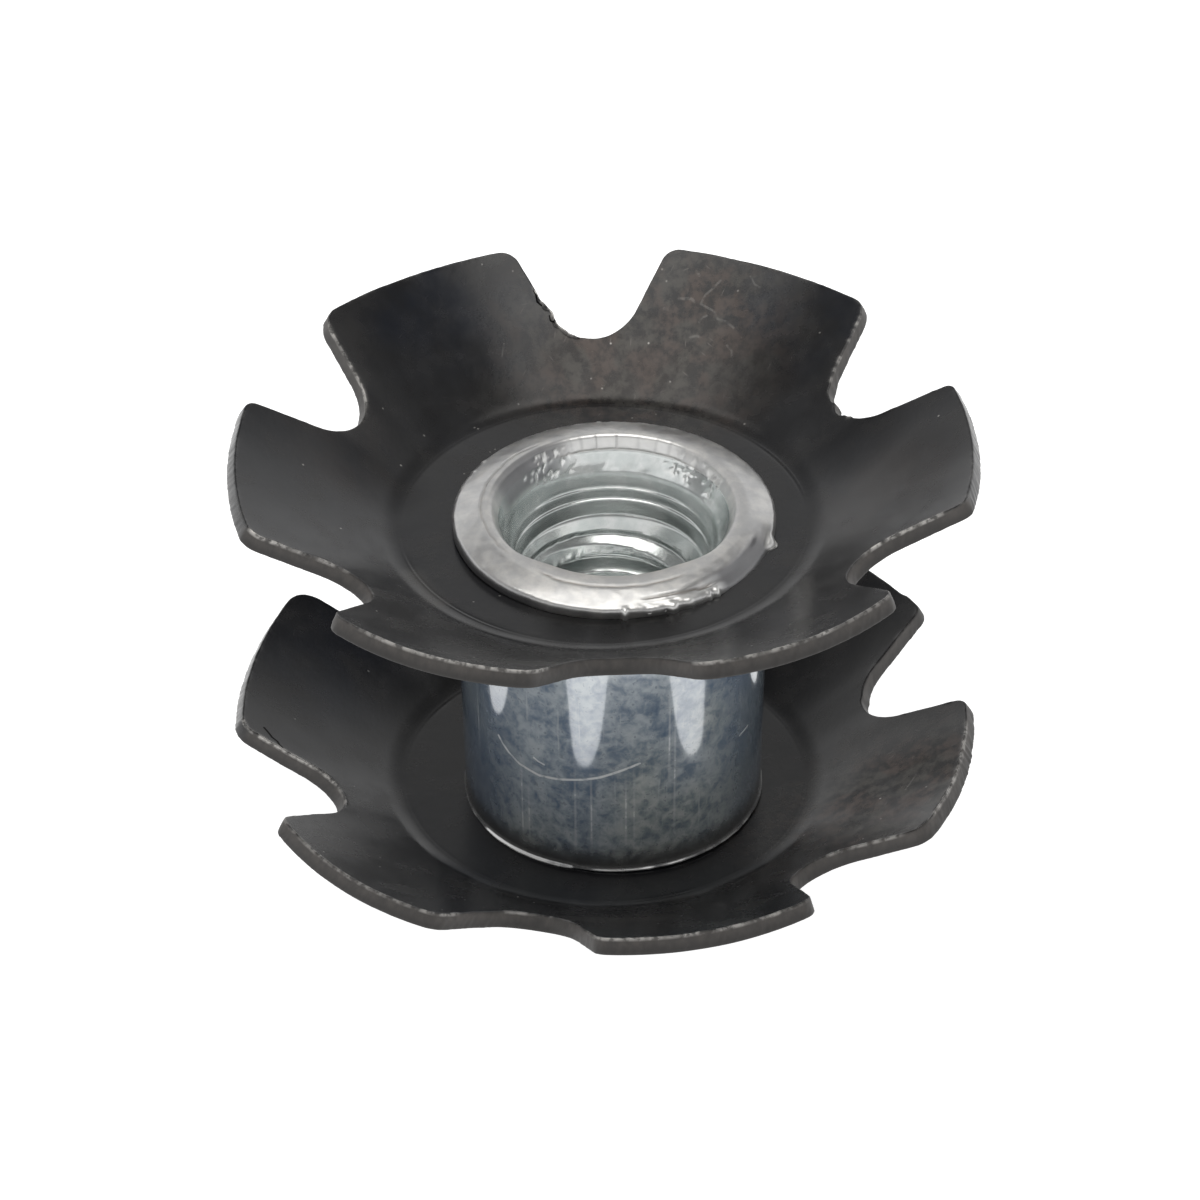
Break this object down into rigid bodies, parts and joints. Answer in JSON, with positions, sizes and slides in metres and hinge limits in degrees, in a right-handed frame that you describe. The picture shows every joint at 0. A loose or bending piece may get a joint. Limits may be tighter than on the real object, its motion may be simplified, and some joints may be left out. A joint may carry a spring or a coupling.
{
  "type": "star nut",
  "caption": "Star nut for a bicycle steerer tube: threaded barrel with a dished, notched spring-steel star washer riveted on at each end.",
  "frame": {"origin": "on the barrel's thread axis, in the plane of the lower flange's flat face, on which the nut rests", "axes": "+Z along the thread axis, from the lower flange to the flange that the bolt enters by; the washers' petals rise towards +Z; +X to the right of the view that the picture shows"},
  "size_m": [0.026, 0.026, 0.0155],
  "materials": {
    "zinc_steel": "bright zinc plating, mottled blue-grey on the barrel, rough and bright where the flange was rolled over",
    "black_spring_steel": "blackened hardened spring steel, satin, with bright worn and burred edges"
  },
  "bodies": {
    "root": {"threaded_barrel": "zinc_steel", "upper_star_washer": "black_spring_steel", "lower_star_washer": "black_spring_steel"}
  },
  "joints": []
}
